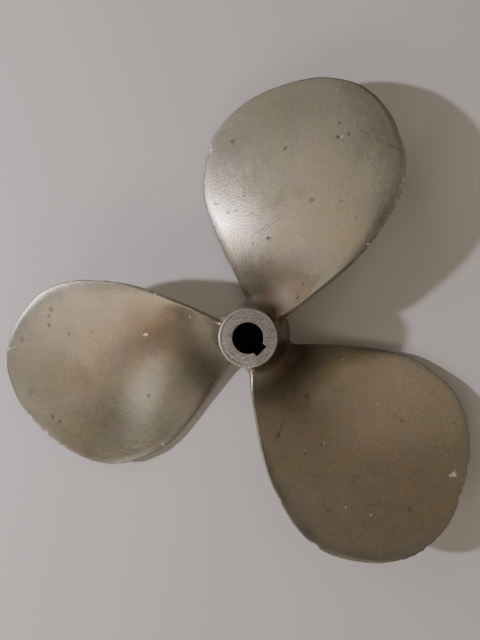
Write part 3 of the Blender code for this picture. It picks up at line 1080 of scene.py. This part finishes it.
# The walls of the bore are painted near black.
colour = blend(inside, colour, BORE_BLACK)
feed(surface.inputs["Base Color"], colour)

# Gloss: duller where it is stained, pitted or cut, and shinier where the metal is fresh.
dull = weighed(0.23, (small, 0.10), (middling, 0.12), (band, 0.05), (stain_and_shade_share, 0.12))
dull = weighed(dull, (most(pits, pinholes, dark_lines), 0.25), (fresh, -0.14), (turned, 0.10))
feed(surface.inputs["Roughness"], dull)

# Relief, in metres: hand-rubbed waves and a grain that is coarser where the upper blade
# glares, then pits, scratches and knocks, and the rings and file marks of the end faces.
COARSE_SPOT = (0, -40.0, 0.107)
COARSE_REACH = (0.022, 0.055)
GRAIN_DEPTHS = (0.000125, 0.000072)
from_coarse = shift("DISTANCE", flat_place, on_blade(*COARSE_SPOT))
grain_depth = soft_step(from_coarse, *COARSE_REACH, *GRAIN_DEPTHS)
relief = weighed(0.0, (small, 0.00006), (middling, 0.00014), (fine, 0.00003))
relief = times(weighed(relief, (grain, grain_depth)), as_cast)
relief = weighed(relief, (pits, -0.00007), (pinholes, -0.00002), (dark_lines, -0.00001))
relief = weighed(relief, (bright_lines, -0.00004), (bright, -0.00012))
cuts = weighed(0.0, (lines, 0.00006), (pecks, 0.00008))
relief = weighed(relief, (cuts, turned))
for normal, strength in (("Normal", 1.0), ("Coat Normal", 0.60)):
    bump = tool("Bump")
    bump.inputs["Strength"].default_value = strength
    bump.inputs["Distance"].default_value = 1.0
    feed(bump.inputs["Height"], relief)
    feed(surface.inputs[normal], bump.outputs[0])


# Floor: plain, pale and matt. It lies a hair under the forward face of the boss, so that
# the two surfaces never share one level.
FLOOR_REACH = 3.0
FLOOR_GAP = 0.0002

corners = [
    (x * FLOOR_REACH, y * FLOOR_REACH, 0) for x, y in ((-1, -1), (1, -1), (1, 1), (-1, 1))
]
floor_sheet = bpy.data.meshes.new("floor")
floor_sheet.from_pydata(corners, [], [(0, 1, 2, 3)])
floor = bpy.data.objects.new("floor", floor_sheet)
floor.location = (0, 0, -FLOOR_GAP)
bpy.context.scene.collection.objects.link(floor)
pale_floor = bpy.data.materials.new("pale_floor")
pale_floor.use_nodes = True
matt = pale_floor.node_tree.nodes["Principled BSDF"]
matt.inputs["Base Color"].default_value = (0.72, 0.70, 0.67, 1)
matt.inputs["Roughness"].default_value = 0.7
floor_sheet.materials.append(pale_floor)


# Light: soft daylight from windows on the left, the nearest one small and high enough to
# glare on the upper blade, and weaker light from the room all round. Each light has a turn
# round the propeller, a rise above the floor, a width, its watts and its colour.
LIGHTS = (
    ("near_window", 177, 36, 0.07, 12.1, (0.91, 0.89, 1.0)),
    ("low_window", 225, 33, 0.60, 2.35, (1.0, 0.85, 0.68)),
    ("doorway", 150, 26, 0.60, 0.9, (1.0, 0.90, 0.80)),
    ("far_window", 125, 38, 0.90, 2.3, (1.0, 0.93, 0.82)),
    ("upper_window", 213, 47, 0.25, 0.26, (1.0, 0.92, 0.82)),
    ("front_window", 262, 36, 0.38, 1.35, (1.0, 0.92, 0.84)),
    ("side_window", 292, 36, 0.60, 0.7, (1.0, 0.88, 0.74)),
    ("pale_wall", 40, 50, 1.00, 1.5, (1.0, 0.82, 0.62)),
    ("low_wall", 345, 36, 1.20, 1.12, (1.0, 0.87, 0.67)),
)
LIGHT_DISTANCE = 1.4
LIT_SPOT = Vector((0.0, 0.0, 0.04))

for name, turn, rise, width, watts, colour in LIGHTS:
    lamp = bpy.data.lights.new(name, "AREA")
    lamp.shape = "DISK"
    lamp.size = width
    lamp.energy = watts
    lamp.color = colour
    heading = math.radians(turn)
    climb = math.radians(rise)
    level = math.cos(climb)
    way = Vector((math.cos(heading) * level, math.sin(heading) * level, math.sin(climb)))
    item = bpy.data.objects.new(name, lamp)
    item.location = LIT_SPOT + way * LIGHT_DISTANCE
    item.rotation_euler = way.to_track_quat("Z", "Y").to_euler()
    bpy.context.scene.collection.objects.link(item)

room = bpy.data.worlds.new("studio")
room.use_nodes = True
air = room.node_tree.nodes["Background"]
air.inputs["Color"].default_value = (1.0, 0.95, 0.88, 1)
air.inputs["Strength"].default_value = 0.05
bpy.context.scene.world = room
